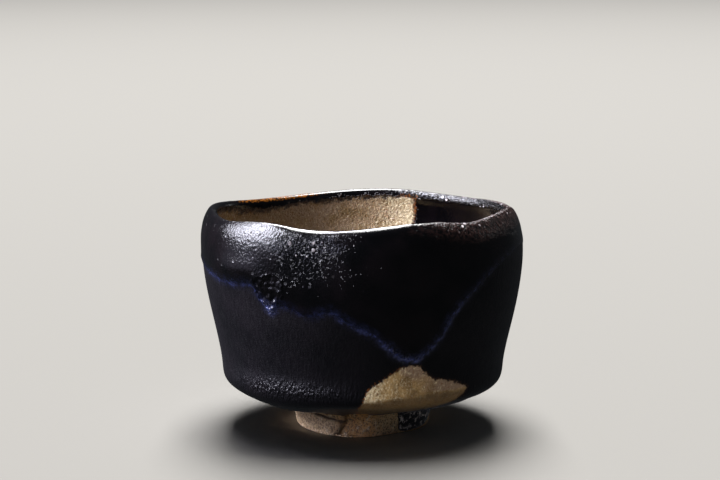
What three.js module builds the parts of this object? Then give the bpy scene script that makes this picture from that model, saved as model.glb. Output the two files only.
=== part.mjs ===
// A hand-formed tea bowl: one piece of thrown and carved stoneware, standing on a low cut foot ring.
// Millimetres and degrees, +Z up. The origin is under the middle of the bowl, on the table.
// Azimuth 0 is +X and azimuth 90 is +Y, so the side that faces -Y is at azimuth 270.
import * as THREE from "three";

// The foot ring, cut from the thick base with a blade.
const FOOT_RADIUS = 26;
const FOOT_RING_WIDTH = 6.2;
const FOOT_HEIGHT = 8.9;
const FOOT_FLARE = 0.5; // the ring is this much wider at its top than on the table
const FOOT_EDGE_ROUND = 0.9;
const FOOT_FILLET = 1.6; // where the ring's outside runs into the underside
const CORNER_CUT = 0.3; // how far the middle of a rounded corner is cut back, as a share of its size
const WELL_DEPTH = 6.2; // the hollow inside the ring
const WELL_BOSS_HEIGHT = 0.9; // the low boss that the blade leaves in the middle of the hollow
const WELL_BOSS_RADIUS = 7.5;

// The underside, a shallow cone that turns up into the wall.
const UNDERSIDE_RADIUS = 43;
const UNDERSIDE_RISE = 3.9;
const TURN_RADIUS = 53.3;
const TURN_HEIGHT = 21;

// The wall, the shoulder and the lip.
const BELLY_RADIUS = 60.9;
const BELLY_HEIGHT = 71;
const LIP_RADIUS = 56.4;
const LIP_HEIGHT = 82.8;
const LIP_THICKNESS = 6.6;
const LIP_INSIDE_DEPTH = 5;
const WALL_THICKNESS = 6.2;

// How far the handles of each curve reach along it, from its first end and from its last, as shares.
const HANDLES = {
  underside: { first: 0.35, firstRise: 0.3, last: 0.75, lastRise: 0.7 },
  turn: { first: 0.7, firstRise: 0.3, last: 0.5 },
  wall: { first: 0.23, last: 0.44 },
  shoulder: { first: 0.5, last: 0.55 },
  lip: { first: 0.6, last: 0.45 },
  inside: { first: 0.34, last: 0.7, lastRise: 0.7 },
  pool: 0.8,
};
const INSIDE_BELLY = 1.6; // the inside swells this much past an even wall, under the lip
const POOL_CORNER_ROUND = 1.4; // the wall runs in by this much before it turns into the pool

// The inside: a wide pool over a thick floor.
const FLOOR_THICKNESS = 8.6;
const POOL_RADIUS = 40;
const POOL_RISE = 6.4;
const POOL_CORNER_HEIGHT = 11; // the wall starts this far above the floor's middle, past the pool's edge

// The lip's line. Each entry is the top of a rise or the bottom of a dip, against the mean height.
const LIP_LINE = [
  { azimuth: 12, rise: -0.1 },
  { azimuth: 46, rise: -1.2 },
  { azimuth: 78, rise: 0 },
  { azimuth: 131, rise: -2 },
  { azimuth: 181, rise: 1 },
  { azimuth: 206, rise: -0.3 },
  { azimuth: 233, rise: 1.6 },
  { azimuth: 254, rise: -0.3 },
  { azimuth: 295, rise: 2.7 },
  { azimuth: 314, rise: 0.9 },
  { azimuth: 340, rise: 2.6 },
];
const LIP_LINE_DEPTH = 34; // the rises and dips have faded out this far below the lip
const LIP_LINE_FADE = 1.6; // the higher, the sooner they fade

// Swells and hollows that the fingers left in the wall, each by its middle, its reach and its push outwards.
const WALL_SWELLS = [
  { azimuth: 226, height: 73, reach: 34, tall: 20, push: 1.3 },
  { azimuth: 258, height: 77, reach: 22, tall: 17, push: -1.5 },
  { azimuth: 300, height: 72, reach: 34, tall: 26, push: 0.5 },
  { azimuth: 322, height: 80, reach: 15, tall: 10, push: -0.9 },
  { azimuth: 352, height: 82, reach: 40, tall: 18, push: -1.2 },
  { azimuth: 120, height: 70, reach: 40, tall: 26, push: -1.2 },
  { azimuth: 60, height: 66, reach: 34, tall: 24, push: 0.8 },
  { azimuth: 20, height: 40, reach: 36, tall: 24, push: 0.5 },
  { azimuth: 205, height: 42, reach: 40, tall: 22, push: -0.5 },
  { azimuth: 150, height: 34, reach: 44, tall: 22, push: 0.6 },
];
const OVAL = 0.8; // the bowl is this much wider than round along X, and narrower along Y

// Flats and corners that the blade left round the outside of the foot ring.
const FOOT_CUTS = [
  { azimuth: 95, reach: 36, push: -0.8 },
  { azimuth: 196, reach: 30, push: -0.5 },
  { azimuth: 256, reach: 40, push: 1.7 },
  { azimuth: 303, reach: 26, push: -1.3 },
];

// Where the blade cut the underside higher or left it lower.
const UNDERSIDE_CUTS = [
  { azimuth: 230, reach: 34, lift: -1 },
  { azimuth: 266, reach: 34, lift: 0.9 },
  { azimuth: 316, reach: 26, lift: 0.3 },
];

// How finely the surface is faceted.
const FACETS_ROUND = 90;
const STEPS = { boss: 2, underside: 4, turn: 4, wall: 11, shoulder: 5, lip: 4, inside: 10, pool: 5 };

const CLAY = { color: 0xb59a6c, roughness: 0.75, metalness: 0 };

const { clamp, degToRad, euclideanModulo, lerp, radToDeg, smoothstep } = THREE.MathUtils;

/** A bump that is 1 at distance 0 and falls smoothly to 0 at distance 1 on both sides. */
function bump(distance) {
  return Math.abs(distance) < 1 ? (1 + Math.cos(Math.PI * distance)) / 2 : 0;
}

/** The turn from one azimuth to another by the shorter way, in degrees. */
function turnBetween(from, to) {
  return euclideanModulo(to - from + 180, 360) - 180;
}

/** How far the lip stands above its mean height, easing from each rise or dip to the next. */
function lipRise(azimuth) {
  const past = (at) => euclideanModulo(azimuth - at.azimuth, 360);
  const from = LIP_LINE.reduce((best, at) => (past(at) < past(best) ? at : best));
  const to = LIP_LINE[(LIP_LINE.indexOf(from) + 1) % LIP_LINE.length];
  const share = past(from) / euclideanModulo(to.azimuth - from.azimuth, 360);
  return lerp(from.rise, to.rise, (1 - Math.cos(Math.PI * share)) / 2);
}

/** The sum of one kind of push or lift over a list of cuts or swells, at an azimuth. */
function sumRound(list, kind, azimuth) {
  const share = (at) => at[kind] * bump(turnBetween(at.azimuth, azimuth) / at.reach);
  return list.reduce((sum, at) => sum + share(at), 0);
}

/** How far the fingers pushed the wall out at an azimuth and a height. */
function wallPush(azimuth, height) {
  const oval = OVAL * Math.cos(2 * degToRad(azimuth));
  const near = WALL_SWELLS.map((swell) => {
    return { ...swell, push: swell.push * bump((height - swell.height) / swell.tall) };
  });
  return oval + sumRound(near, "push", azimuth);
}

/** Points down one cubic curve, without its last point, which starts the next stretch. */
function stretch(steps, ...corners) {
  const points = corners.map(([radius, height]) => new THREE.Vector2(radius, height));
  return new THREE.CubicBezierCurve(...points).getPoints(steps).slice(0, -1);
}

/** The hollow inside the foot ring, and the flat ring that the bowl stands on. */
function footOutline() {
  const inside = FOOT_RADIUS - FOOT_RING_WIDTH;
  const wellTop = WELL_DEPTH - WELL_BOSS_HEIGHT;
  const round = FOOT_EDGE_ROUND * CORNER_CUT;
  const fillet = FOOT_FILLET * CORNER_CUT;
  const boss = stretch(
    STEPS.boss,
    [0, wellTop],
    [WELL_BOSS_RADIUS / 2, wellTop],
    [WELL_BOSS_RADIUS / 2, WELL_DEPTH],
    [WELL_BOSS_RADIUS, WELL_DEPTH],
  );
  const ring = [
    [WELL_BOSS_RADIUS, WELL_DEPTH],
    [inside - 2 * FOOT_EDGE_ROUND, WELL_DEPTH],
    [inside - FOOT_EDGE_ROUND, WELL_DEPTH - FOOT_EDGE_ROUND],
    [inside, FOOT_EDGE_ROUND],
    [inside + FOOT_EDGE_ROUND, 0],
    [FOOT_RADIUS - FOOT_EDGE_ROUND, 0],
    [FOOT_RADIUS - round, round],
    [FOOT_RADIUS, FOOT_EDGE_ROUND],
    [FOOT_RADIUS + FOOT_FLARE / 2, FOOT_HEIGHT / 2],
    [FOOT_RADIUS + FOOT_FLARE, FOOT_HEIGHT - FOOT_FILLET],
    [FOOT_RADIUS + FOOT_FLARE + fillet, FOOT_HEIGHT - fillet],
  ].map(([radius, height]) => new THREE.Vector2(radius, height));
  return [...boss, ...ring];
}

/** The outside, from the foot's fillet up to the top of the lip. */
function outsideOutline() {
  const { underside, turn, wall, shoulder } = HANDLES;
  const [innerRadius, innerHeight] = [FOOT_RADIUS + FOOT_FLARE + FOOT_FILLET, FOOT_HEIGHT];
  const [outerRadius, outerHeight] = [UNDERSIDE_RADIUS, FOOT_HEIGHT + UNDERSIDE_RISE];
  return [
    ...stretch(
      STEPS.underside,
      [innerRadius, innerHeight],
      [lerp(innerRadius, outerRadius, underside.first), lerp(innerHeight, outerHeight, underside.firstRise)],
      [lerp(innerRadius, outerRadius, underside.last), lerp(innerHeight, outerHeight, underside.lastRise)],
      [outerRadius, outerHeight],
    ),
    ...stretch(
      STEPS.turn,
      [outerRadius, outerHeight],
      [lerp(outerRadius, TURN_RADIUS, turn.first), lerp(outerHeight, TURN_HEIGHT, turn.firstRise)],
      [TURN_RADIUS, lerp(TURN_HEIGHT, outerHeight, turn.last)],
      [TURN_RADIUS, TURN_HEIGHT],
    ),
    ...stretch(
      STEPS.wall,
      [TURN_RADIUS, TURN_HEIGHT],
      [TURN_RADIUS, lerp(TURN_HEIGHT, BELLY_HEIGHT, wall.first)],
      [BELLY_RADIUS, lerp(BELLY_HEIGHT, TURN_HEIGHT, wall.last)],
      [BELLY_RADIUS, BELLY_HEIGHT],
    ),
    ...stretch(
      STEPS.shoulder,
      [BELLY_RADIUS, BELLY_HEIGHT],
      [BELLY_RADIUS, lerp(BELLY_HEIGHT, LIP_HEIGHT, shoulder.first)],
      [lerp(LIP_RADIUS, BELLY_RADIUS, shoulder.last), LIP_HEIGHT],
      [LIP_RADIUS, LIP_HEIGHT],
    ),
  ];
}

/** The inside, from the top of the lip down to the middle of the floor. */
function insideOutline() {
  const { lip, inside, pool } = HANDLES;
  const [lipRadius, lipHeight] = [LIP_RADIUS - LIP_THICKNESS / 2, LIP_HEIGHT - LIP_INSIDE_DEPTH];
  const floor = WELL_DEPTH + FLOOR_THICKNESS;
  const poolEdge = floor + POOL_RISE;
  const cornerRadius = TURN_RADIUS - WALL_THICKNESS;
  const cornerHeight = poolEdge + POOL_CORNER_HEIGHT;
  const bellyRadius = BELLY_RADIUS - WALL_THICKNESS + INSIDE_BELLY;
  return [
    ...stretch(
      STEPS.lip,
      [LIP_RADIUS, LIP_HEIGHT],
      [lerp(LIP_RADIUS, lipRadius, lip.first), LIP_HEIGHT],
      [lipRadius, lerp(LIP_HEIGHT, lipHeight, lip.last)],
      [lipRadius, lipHeight],
    ),
    ...stretch(
      STEPS.inside,
      [lipRadius, lipHeight],
      [bellyRadius, lerp(lipHeight, cornerHeight, inside.first)],
      [lerp(bellyRadius, cornerRadius, inside.last), lerp(lipHeight, cornerHeight, inside.lastRise)],
      [cornerRadius, cornerHeight],
    ),
    ...stretch(
      STEPS.pool,
      [cornerRadius, cornerHeight],
      [cornerRadius - POOL_CORNER_ROUND, poolEdge],
      [POOL_RADIUS * pool, floor],
      [0, floor],
    ),
    new THREE.Vector2(0, floor),
  ];
}

/** Moves one point of the turned bowl to where the fingers and the blade left it. */
function shapeByHand(point) {
  const azimuth = euclideanModulo(radToDeg(Math.atan2(point.y, point.x)), 360);
  const radius = Math.hypot(point.x, point.y);
  const height = point.z;

  const ringMiddle = FOOT_RADIUS - FOOT_RING_WIDTH / 2;
  const outsideRing = smoothstep(radius, ringMiddle, FOOT_RADIUS - FOOT_EDGE_ROUND);
  const underWall = 1 - smoothstep(height, FOOT_HEIGHT - FOOT_FILLET, FOOT_HEIGHT + UNDERSIDE_RISE);
  const underside = smoothstep(radius, FOOT_RADIUS, UNDERSIDE_RADIUS)
    * (1 - smoothstep(height, FOOT_HEIGHT + UNDERSIDE_RISE, TURN_HEIGHT));
  const body = smoothstep(height, FOOT_HEIGHT, TURN_HEIGHT) * smoothstep(radius, 0, POOL_RADIUS);
  const lip = clamp((height - LIP_HEIGHT + LIP_LINE_DEPTH) / LIP_LINE_DEPTH, 0, 1) ** LIP_LINE_FADE;

  const push = outsideRing * underWall * sumRound(FOOT_CUTS, "push", azimuth)
    + body * wallPush(azimuth, height);
  const lift = underside * sumRound(UNDERSIDE_CUTS, "lift", azimuth) + lip * lipRise(azimuth);
  const scale = radius > 0 ? (radius + push) / radius : 1;
  return point.set(point.x * scale, point.y * scale, height + lift);
}

/** The whole bowl: its outline turned round the axis, then shaped by hand. */
function bowlGeometry() {
  const outline = [...footOutline(), ...outsideOutline(), ...insideOutline()];
  const geometry = new THREE.LatheGeometry(outline, FACETS_ROUND).rotateX(Math.PI / 2);
  const positions = geometry.getAttribute("position");
  const point = new THREE.Vector3();
  for (let i = 0; i < positions.count; i++) {
    const moved = shapeByHand(point.fromBufferAttribute(positions, i));
    positions.setXYZ(i, moved.x, moved.y, moved.z);
  }
  geometry.computeVertexNormals();
  return geometry;
}

const bowl = new THREE.Mesh(bowlGeometry(), new THREE.MeshStandardMaterial(CLAY));
bowl.name = "tea_bowl";
bowl.geometry.computeBoundingBox();
const middle = bowl.geometry.boundingBox.getCenter(new THREE.Vector3());
bowl.position.set(-middle.x, -middle.y, 0);

const part = new THREE.Group();
part.add(bowl);

export default part;
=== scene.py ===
"""Dresses a hand-formed stoneware tea bowl in two black glazes, with buff windows and a bare clay foot."""

import logging
import math
from dataclasses import dataclass, field
from enum import Enum

import bpy
import numpy as np
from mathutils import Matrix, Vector, noise


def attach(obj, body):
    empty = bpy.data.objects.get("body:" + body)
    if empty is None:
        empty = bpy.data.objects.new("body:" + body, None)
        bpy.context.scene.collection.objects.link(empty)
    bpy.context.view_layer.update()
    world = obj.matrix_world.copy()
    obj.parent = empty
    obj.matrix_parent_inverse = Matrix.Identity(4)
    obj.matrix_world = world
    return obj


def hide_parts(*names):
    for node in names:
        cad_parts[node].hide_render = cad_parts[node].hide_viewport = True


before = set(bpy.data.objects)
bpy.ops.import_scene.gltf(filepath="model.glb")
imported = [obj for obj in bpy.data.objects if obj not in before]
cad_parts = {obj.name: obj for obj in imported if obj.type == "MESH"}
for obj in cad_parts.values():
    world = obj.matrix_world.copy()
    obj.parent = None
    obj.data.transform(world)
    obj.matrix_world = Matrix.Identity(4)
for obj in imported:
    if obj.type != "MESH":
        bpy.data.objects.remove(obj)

LOG = logging.getLogger("tea bowl")
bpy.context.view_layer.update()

MM = 0.001
NODE = "tea_bowl"

Socket = bpy.types.NodeSocket
Tree = bpy.types.NodeTree
Point = tuple[float, float]
Value = Socket | float | str | tuple[float, ...]

# The distance in millimetres that stands for a place far outside an edge.
OUT_OF_REACH = -20.0


def linear(hex_colour: str) -> tuple[float, float, float, float]:
    """Turns an sRGB hex colour into linear red, green, blue and alpha.

    Args:
        hex_colour: Six hex digits, such as "a8926a".

    Returns:
        The four linear values, with alpha 1.
    """
    shares = [int(hex_colour[i : i + 2], 16) / 255 for i in (0, 2, 4)]
    red, green, blue = ((c / 12.92) if c <= 0.04045 else ((c + 0.055) / 1.055) ** 2.4 for c in shares)
    return red, green, blue, 1.0


def per_metre(size_mm: float) -> float:
    """Gives a texture's scale for features of a real size.

    Args:
        size_mm: The size of one feature in millimetres.

    Returns:
        How many of them fit in a metre.
    """
    return 1 / (size_mm * MM)


def ease(low: float, high: float, values: np.ndarray) -> np.ndarray:
    """Eases from 0 at one value to 1 at another.

    Args:
        low: The value where the rise starts.
        high: The value where it ends, which may be the lower one.
        values: What is eased.

    Returns:
        The eased shares.
    """
    share = np.clip((values - low) / (high - low), 0, 1)
    return share * share * (3 - 2 * share)


def turn_between(start: float, values: np.ndarray) -> np.ndarray:
    """Gives the turn from one azimuth to others by the shorter way, in degrees."""
    return (values - start + 180) % 360 - 180


def bell(middle: float, width: float, values: np.ndarray) -> np.ndarray:
    """Gives 1 at one value and falls away like a bell on both sides."""
    return np.exp(-(((values - middle) / width) ** 2))


class Side(Enum):
    """The sides of the bowl's skin."""

    OUTSIDE = 0
    INSIDE = 1
    WELL = 2


@dataclass
class Skin:
    """The bowl's points, read round the axis and up the outside, over the lip and down the inside.

    Lengths are millimetres and azimuths are degrees. Azimuth 0 is +X and azimuth 270 faces the camera.
    """

    points: np.ndarray
    normals: np.ndarray
    turn_radius: float = 53.3
    turn_height: float = 21.0
    foot_inside: float = 21.2
    well_depth: float = 7.2
    floor_lowest: float = 13.0
    crest_step: float = 2.0
    azimuth: np.ndarray = field(init=False)
    radius: np.ndarray = field(init=False)
    height: np.ndarray = field(init=False)
    side: np.ndarray = field(init=False)
    past_lip: np.ndarray = field(init=False)
    path: np.ndarray = field(init=False)

    def __post_init__(self) -> None:
        """Reads every point's place on the skin."""
        x, y, self.height = self.points.T
        self.azimuth = np.degrees(np.arctan2(y, x)) % 360
        self.radius = np.hypot(x, y)
        self.side = self._sides()
        crest_radius, crest_height = self._crest()
        to_crest = np.hypot(self.radius - crest_radius, crest_height - self.height)
        self.past_lip = np.where(self.side == Side.INSIDE.value, to_crest, -to_crest)
        inwards = np.maximum(self.turn_radius - self.radius, 0)
        under = self.turn_height - np.hypot(inwards, self.turn_height - self.height)
        low = np.where(self.height < self.turn_height, under, self.height)
        near_lip = ease(50, 60, self.height)
        outside = low + near_lip * (crest_height - to_crest - low)
        self.path = np.where(self.side == Side.INSIDE.value, crest_height + to_crest, outside)

    def _sides(self) -> np.ndarray:
        """Sorts the points by which way the skin faces."""
        away = (self.normals[:, :2] * self.points[:, :2]).sum(1) / np.maximum(self.radius, 0.01)
        upwards = (self.normals[:, 2] > 0.7) & (self.radius < self.turn_radius - 8)
        inside = (self.height > self.floor_lowest) & ((away < 0) | upwards)
        well = (self.radius < self.foot_inside) & (self.height < self.well_depth)
        return np.select([inside, well], [Side.INSIDE.value, Side.WELL.value], Side.OUTSIDE.value)

    def _crest(self) -> tuple[np.ndarray, np.ndarray]:
        """Finds the top of the lip at each point's azimuth."""
        middles = np.arange(0, 360, self.crest_step)
        highest = []
        for middle in middles:
            near = np.flatnonzero(np.abs(turn_between(middle, self.azimuth)) <= self.crest_step)
            highest.append(near[np.argmax(self.height[near])])
        radii, heights = self.radius[highest], self.height[highest]
        soft = (np.roll(radii, 1) + radii + np.roll(radii, -1)) / 3
        return (
            np.interp(self.azimuth, middles, soft, period=360),
            np.interp(self.azimuth, middles, heights, period=360),
        )

    @property
    def outside(self) -> np.ndarray:
        """Tells which points are on the outside."""
        return self.side == Side.OUTSIDE.value

    @property
    def inside(self) -> np.ndarray:
        """Tells which points are on the inside."""
        return self.side == Side.INSIDE.value

    def grain(self, size: float, seed: float, stretch: float = 1.0) -> np.ndarray:
        """Gives smooth noise over the skin.

        Args:
            size: The size of one lump.
            seed: Moves the noise to another place.
            stretch: How many times taller than wide a lump is.

        Returns:
            A value from about -1 to 1 for each point.
        """
        scaled = self.points / np.array([size, size, size * stretch]) + seed
        return np.array([noise.noise(Vector(place)) for place in scaled])


@dataclass(frozen=True)
class Edge:
    """A line drawn on the skin through a few points of azimuth and path, closed or right round the bowl."""

    line: tuple[Point, ...]
    all_round: bool = False
    steps: int = 5

    def distance(self, azimuth: np.ndarray, along: np.ndarray, radius: np.ndarray) -> np.ndarray:
        """Measures how far each point lies inside the closed line, or above the line that goes all round.

        Args:
            azimuth: The points' azimuths.
            along: How far up the skin the points are.
            radius: The radius that turns an azimuth into a length at each point.

        Returns:
            The distances in millimetres, negative on the other side.
        """
        corners = self._smooth()
        shifts = (-360, 0, 360) if self.all_round else (0,)
        middle = 180.0 if self.all_round else corners[:, 0].mean()
        across = turn_between(middle, azimuth)
        width = np.radians(1) * radius
        nearest = np.full(len(azimuth), np.inf)
        crossings = np.zeros(len(azimuth), int)
        for shift in shifts:
            starts = corners - (middle - shift, 0)
            ends = np.roll(starts, -1, axis=0)
            if self.all_round:
                ends[-1, 0] += 360
            for (a0, p0), (a1, p1) in zip(starts, ends):
                x0, y0 = (a0 - across) * width, p0 - along
                dx, dy = (a1 - a0) * width, p1 - p0
                share = np.clip(-(x0 * dx + y0 * dy) / (dx * dx + dy * dy + 1e-9), 0, 1)
                nearest = np.minimum(nearest, np.hypot(x0 + share * dx, y0 + share * dy))
                if a0 != a1:
                    level = p0 + (across - a0) * (p1 - p0) / (a1 - a0)
                    crossings += ((a0 <= across) != (a1 <= across)) & (level < along)
        return np.where(crossings % 2 == 1, nearest, -nearest)

    def _smooth(self) -> np.ndarray:
        """Draws a smooth curve through the line's points."""
        line = np.array(self.line, float)
        wrap = np.array([360.0, 0.0]) if self.all_round else np.zeros(2)
        before = np.vstack([line[-1:] - wrap, line[:-1]])
        after = np.vstack([line[1:], line[:1] + wrap])
        later = np.vstack([line[2:], line[:2] + wrap])
        curve = []
        for step in range(self.steps):
            t = step / self.steps
            curve.append(
                0.5
                * (
                    2 * line
                    + (after - before) * t
                    + (2 * before - 5 * line + 4 * after - later) * t**2
                    + (3 * line - before - 3 * after + later) * t**3
                )
            )
        return np.stack(curve, axis=1).reshape(-1, 2)


# The lower edge of the thick upper glaze, right round the bowl: azimuth and height.
UPPER_GLAZE = Edge(
    all_round=True,
    line=(
        (3, 67.5), (17, 61), (31, 56.5), (47, 54), (61, 57.5), (76, 61), (90, 60), (104, 54.5), (117, 47),
        (128, 41.5), (138, 44), (149, 52), (163, 59.5), (178, 63.5), (192, 63), (207, 61.2), (219, 60.8),
        (228, 61.4), (230.6, 58.3), (233, 55.2), (235.8, 52.6), (238.4, 54.6), (240.8, 55.2), (245, 53.6),
        (250.3, 51.6), (254, 52.3), (258.6, 53.5), (264.3, 50), (270.3, 47.2), (276.8, 42.7), (282.8, 37.4),
        (287.4, 35.5), (292, 35.4), (297.2, 39.7), (301.7, 46.2), (305, 52.3), (310.3, 57.8), (316, 61.9),
        (322, 65.7), (333, 69.6), (347, 70.5),
    ),
)
# The window of buff clay at the front, from its top down the underside to the foot.
OUTER_WINDOW = Edge(
    line=(
        (287.2, 33.2), (290.4, 33.6), (293.4, 32.6), (295.6, 30.2), (298.6, 28), (304, 26.7), (311, 24.9),
        (317.4, 21.6), (314.4, 19), (311, 15), (307, 8), (305, -2), (304, -12), (285, -14), (267.5, -12),
        (267, -3), (267, 6), (267.6, 13), (269.5, 19.2), (271.6, 23), (274.4, 26.4), (278.7, 28.6),
        (283, 31.6),
    ),
)
# The buff glaze inside the far wall: azimuth, and millimetres past the top of the lip.
INNER_WINDOW = Edge(
    line=(
        (67.4, 2.6), (76, 2.9), (90, 3.2), (105, 3.5), (120, 3.4), (127, 4.4), (132, 3.9), (138, 5.1),
        (144, 4), (150, 4.4), (158, 3.4), (168, 3.2), (180, 4), (190, 6.5), (196, 12), (195, 18), (187, 22.5),
        (174, 25), (160, 30), (148, 40), (138, 52), (120, 62), (92, 64), (78, 56), (72, 44), (70, 32),
        (68, 19), (66.6, 9), (66.4, 4.6),
    ),
)
# The black glaze that ran on to the right of the foot ring: azimuth and height.
FOOT_POOL = Edge(
    line=(
        (300.8, 13), (301.4, 8), (303.4, 5), (304.2, 1.8), (309, 0.9), (320, 1), (333, 1.5), (342, 2.6),
        (350, 4.5), (356, 8), (358, 13),
    ),
)
# The pocket that tore open where the upper glaze sagged: azimuth and height.
TEAR = Edge(
    line=(
        (230.6, 63.6), (233.6, 65.4), (237.4, 66), (241.4, 64.2), (241, 60.2), (239.2, 56.9), (236.2, 54),
        (233.4, 56), (231.2, 59.4),
    ),
)


class Stretch(Enum):
    """Stretches round the bowl, each by its middle azimuth and its reach on both sides, in degrees."""

    BLUE_DIP = (287, 44)
    BLUE_LEFT = (218, 34)
    BLUE_BACK = (165, 130)
    TORN_POCKET = (235.6, 7)
    TURN_WRINKLES = (236, 46)
    LEFT_LIGHT = (214, 32)
    STREAKS = (230, 34)
    STREAKS_END = (252, 30)
    PEBBLES = (250, 45)
    FEW_PEBBLES = (224, 20)
    AMBER_LIP = (130, 40)
    UMBER_LIP = (345, 84)
    RIGHT_LIP = (320, 60)
    FAR_LIP = (44, 58)
    LEFT_LIP = (192, 40)
    LEFT_CREST = (225, 60)
    INNER_RUST = (66, 14)
    INNER_BLUSH = (130, 60)
    INNER_FLAKES = (66, 26)
    WINDOW_RUST = (272, 20)
    WINDOW_RIGHT_TIP = (308, 22)
    WINDOW_LEFT_TIP = (271, 12)
    WINDOW_MIDDLE = (283, 14)
    THIN_UPPER_GLAZE = (0, 60)
    LIP_SHOULDER = (266, 30)
    ROLL = (221, 32)
    BULGE = (226, 24)
    DENT = (252, 15)
    CUT_FOOT = (246, 50)
    FOOT_BLUSH = (268, 26)
    FOOT_CHIPS = (244, 30)
    FOOT_GROOVE = (236, 32)

    def on(self, skin: Skin) -> np.ndarray:
        """Gives each point's share of the stretch: 1 at its middle, falling smoothly to 0 at its ends."""
        middle, reach = self.value
        share = np.clip(np.abs(turn_between(middle, skin.azimuth)) / reach, 0, 1)
        return (1 + np.cos(np.pi * share)) / 2


class Mark(Enum):
    """The measures that the bowl's mesh carries for its finish, by the names of their attributes."""

    UPPER = "upper_glaze"
    OUTER_WINDOW = "outer_window"
    INNER_WINDOW = "inner_window"
    FOOT = "bare_foot"
    FOOT_POOL = "foot_pool"
    BLUE = "blue_edge"
    AMBER = "amber_lip"
    UMBER = "umber_lip"
    TURN = "turn_wrinkles"
    GRIT = "pebbled_glaze"
    MOTTLE = "mottled_glaze"
    RUST = "rusty_rim"
    BLUSH = "pink_blush"
    CREAM = "cream_flakes"
    # Partly a toasted tone and partly painted shade on the window's underside.
    TOAST = "toasted_underside"
    # Painted shade: darkens the foot's groove and the edge where one facet is cut from the next.
    SLIP = "slip_in_the_cuts"


class Kind(Enum):
    """The kinds of node in the finish: type, inputs in the order they are given, output and settings."""

    PLACE = ("ShaderNodeTexCoord", (), "Object", {})
    STRETCH = ("ShaderNodeMapping", ("Vector", "Scale"), 0, {})
    MARK = ("ShaderNodeAttribute", (), "Fac", {})
    NOISE = ("ShaderNodeTexNoise", ("Vector", "Scale", "Detail", "Roughness"), 0, {})
    CELLS = ("ShaderNodeTexVoronoi", ("Vector", "Scale"), "Distance", {})
    TIMES = ("ShaderNodeMath", (0, 1), 0, {"operation": "MULTIPLY"})
    TIMES_PLUS = ("ShaderNodeMath", (0, 1, 2), 0, {"operation": "MULTIPLY_ADD"})
    EASE = ("ShaderNodeMapRange", (0, 1, 2, 3, 4), 0, {"interpolation_type": "SMOOTHSTEP"})
    MIX = ("ShaderNodeMix", (0, 2, 3), 0, {})
    BLEND = ("ShaderNodeMix", (0, 6, 7), 2, {"data_type": "RGBA"})
    BUMP = ("ShaderNodeBump", ("Height", "Distance"), 0, {})
    SURFACE = ("ShaderNodeBsdfPrincipled", ("Base Color", "Roughness", "Normal", "IOR"), 0, {})
    OUTPUT = ("ShaderNodeOutputMaterial", ("Surface",), None, {})


def add(tree: Tree, kind: Kind, *values: Value, **settings: object) -> Socket | None:
    """Adds one node with its settings and links.

    Args:
        tree: The material's node tree.
        kind: The kind of node.
        *values: The inputs in the kind's order: sockets, numbers, vectors or sRGB hex colours.
        **settings: Settings on top of the kind's own.

    Returns:
        The node's output, if it has one.
    """
    type_name, inputs, output, usual = kind.value
    node = tree.nodes.new(type_name)
    for name, setting in {**usual, **settings}.items():
        setattr(node, name, setting)
    for name, value in zip(inputs, values):
        if isinstance(value, bpy.types.NodeSocket):
            tree.links.new(value, node.inputs[name])
        else:
            node.inputs[name].default_value = linear(value) if isinstance(value, str) else value
    return None if output is None else node.outputs[output]


@dataclass(frozen=True)
class Coat:
    """What one finish gives at a point: its colour, its roughness and its fine relief in millimetres."""

    colour: Socket
    roughness: Socket
    relief: Socket

    def under(self, tree: Tree, over: "Coat", mask: Socket) -> "Coat":
        """Lays another coat over this one.

        Args:
            tree: The material's node tree.
            over: The coat that covers this one.
            mask: How much of it covers, from 0 to 1.

        Returns:
            The two as one coat.
        """
        return Coat(
            add(tree, Kind.BLEND, mask, self.colour, over.colour),
            add(tree, Kind.MIX, mask, self.roughness, over.roughness),
            add(tree, Kind.MIX, mask, self.relief, over.relief),
        )


@dataclass(frozen=True)
class LowerGlaze:
    """Thin iron-black glaze, fired satin: it hides the clay and takes broad, dull lights."""

    dark: str = "060508"
    light: str = "0e0b0f"
    cloud: float = 16.0
    # The streaks and the orange peel are finer than a pixel, and are drawn as coarse as they need to show.
    streak: float = 0.7
    streak_tall: float = 9.0
    peel: float = 0.7
    wrinkle: float = 0.8

    def coat(self, tree: Tree) -> Coat:
        """Gives the glaze's colour, roughness and relief."""
        place = add(tree, Kind.PLACE)
        cloud = add(tree, Kind.NOISE, place, per_metre(self.cloud), 4)
        run = add(tree, Kind.STRETCH, place, (1, 1, 1 / self.streak_tall))
        streak = add(tree, Kind.NOISE, run, per_metre(self.streak), 3)
        peel = add(tree, Kind.NOISE, place, per_metre(self.peel), 2, 0.6)
        upright = add(tree, Kind.STRETCH, place, (1, 1, 0.45))
        wrinkle = add(tree, Kind.NOISE, upright, per_metre(self.wrinkle))
        turn = add(tree, Kind.TIMES, wrinkle, add(tree, Kind.MARK, attribute_name=Mark.TURN.value))
        relief = add(tree, Kind.TIMES_PLUS, peel, 0.12, add(tree, Kind.TIMES, streak, 0.12))
        return Coat(
            colour=add(tree, Kind.BLEND, add(tree, Kind.EASE, cloud, 0.3, 0.7), self.dark, self.light),
            roughness=add(tree, Kind.EASE, streak, 0.25, 0.75, 0.3, 0.42),
            relief=add(tree, Kind.TIMES_PLUS, turn, 1.6, relief),
        )


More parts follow.
